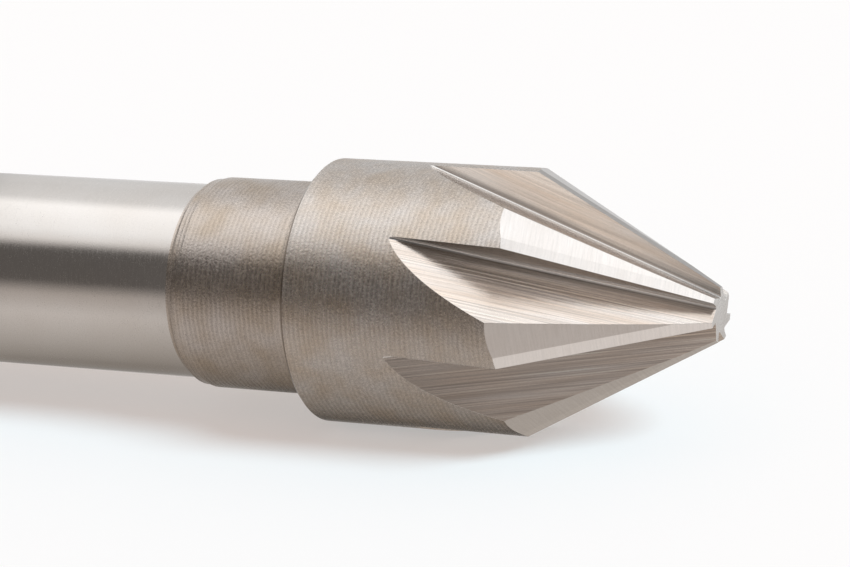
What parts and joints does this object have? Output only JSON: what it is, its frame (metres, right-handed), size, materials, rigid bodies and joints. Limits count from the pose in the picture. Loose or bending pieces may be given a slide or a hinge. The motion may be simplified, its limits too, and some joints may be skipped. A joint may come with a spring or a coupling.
{
  "type": "countersink bit",
  "caption": "One-piece straight-flute countersink bit with a 60 degree conical point, a stepped neck and a plain round shank.",
  "frame": {"origin": "centre of the free end of the shank, which the bit stands on", "axes": "+Z along the tool's axis, from the shank's end to the cutting tip; the first cutting edge lies in the plane through +X"},
  "size_m": [0.0126, 0.0126, 0.0508],
  "materials": {
    "tool_steel": "ground bright on the shank, flutes and lands; finely turned and slightly bronzed on the neck and head"
  },
  "bodies": {
    "root": {"countersink_bit": "tool_steel"}
  },
  "joints": []
}
